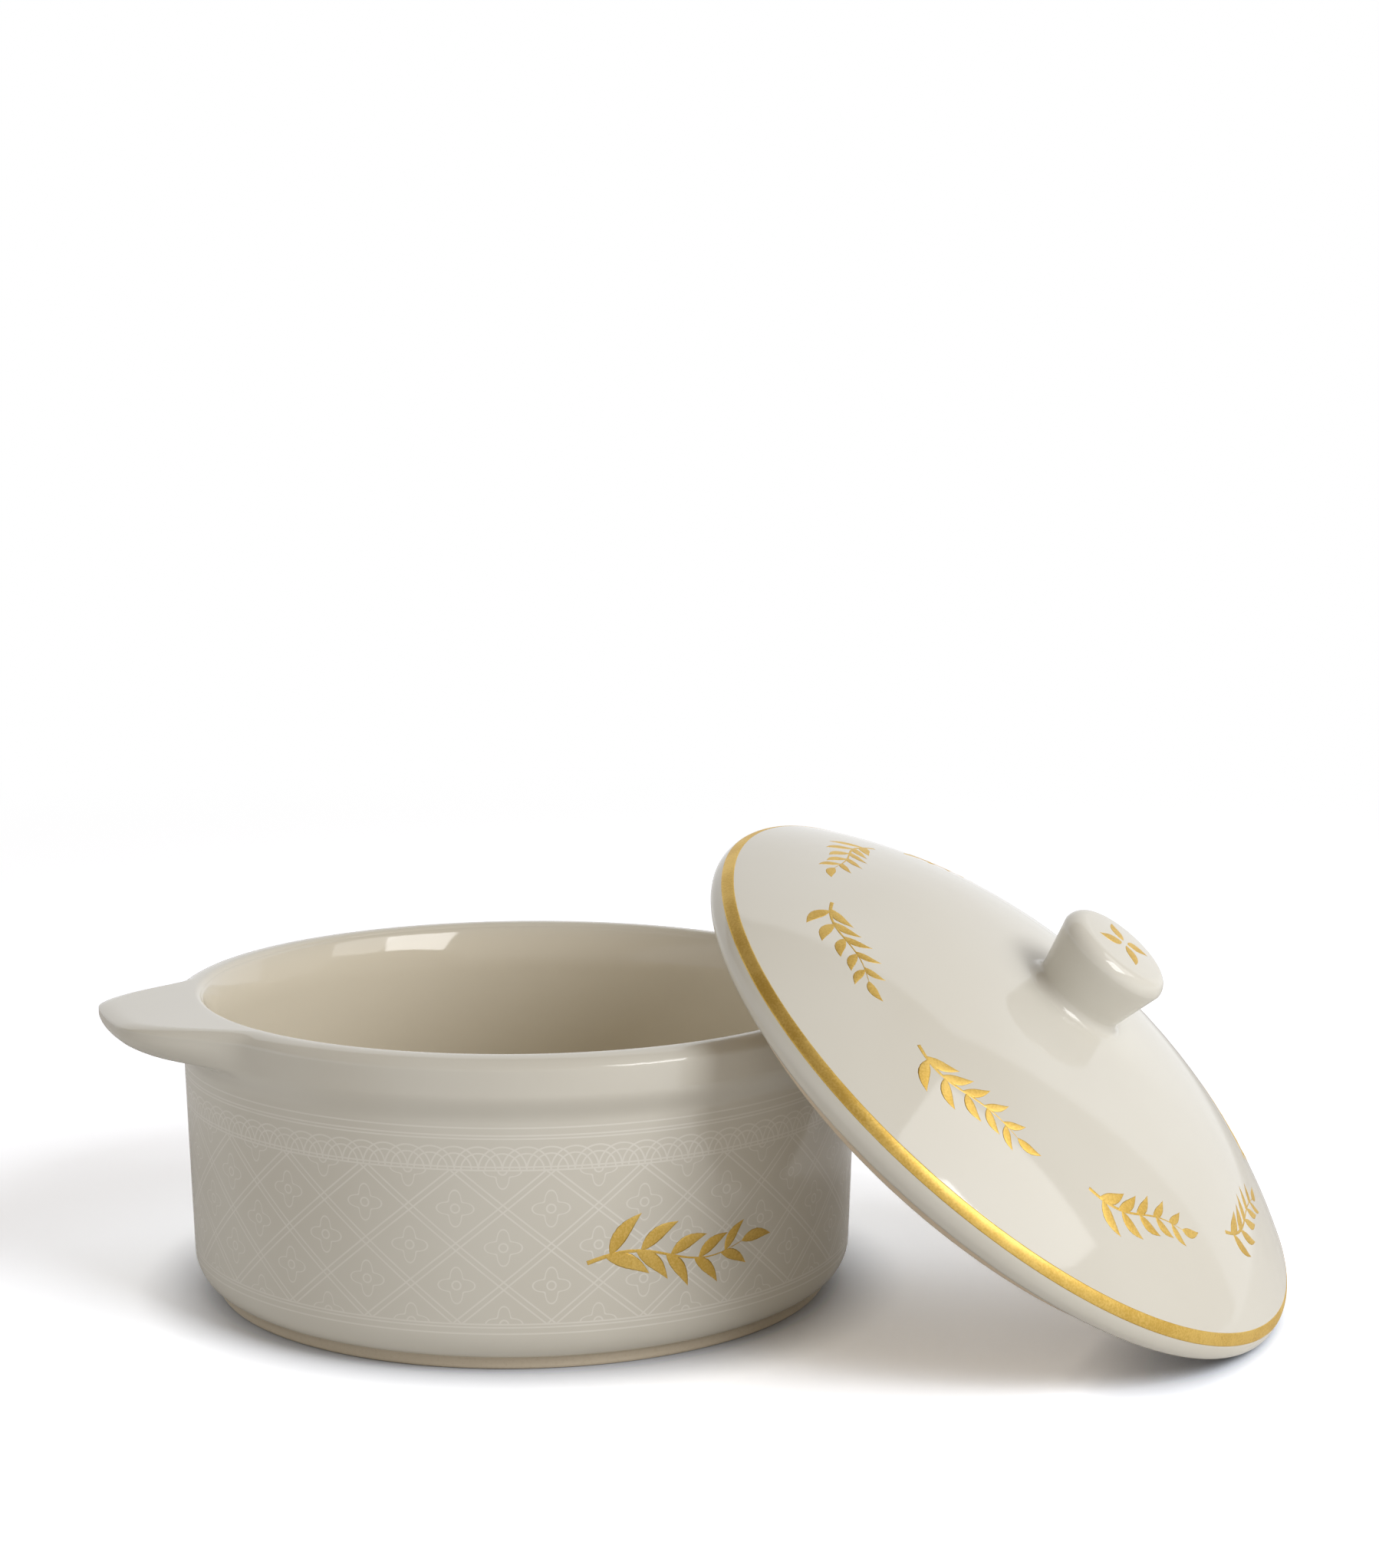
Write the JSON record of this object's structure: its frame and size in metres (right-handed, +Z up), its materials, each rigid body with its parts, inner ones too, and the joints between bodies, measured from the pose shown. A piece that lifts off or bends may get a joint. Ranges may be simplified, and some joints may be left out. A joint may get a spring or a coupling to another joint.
{
  "type": "cheese baker",
  "caption": "Round stoneware dish for baking a soft cheese, with lugs at its rim and a domed, knobbed lid with a gilt line that lifts off and leans on the dish.",
  "frame": {"origin": "centre of the dish's flat foot, on the surface that it stands on", "axes": "+Z up along the dish's axis, +X to the side where the lid leans, +Y away from the viewer of the picture"},
  "size_m": [0.2306, 0.1586, 0.0906],
  "materials": {
    "dish_glaze": "glossy greige glaze on stoneware, bare on the foot",
    "lid_glaze": "glossy pale cream glaze on stoneware",
    "gilt": "fired gold lustre, slightly grained"
  },
  "bodies": {
    "dish": {"dish": "dish_glaze"},
    "lid": {"lid": "lid_glaze", "lid_gilt_line": "gilt", "lid_knob": "lid_glaze"}
  },
  "joints": [
    {"name": "lid_lift", "type": "slide", "parent": "dish", "child": "lid", "axis": [0.5898, -0.2383, 0.7716], "range_m": [0, 0.15]}
  ]
}
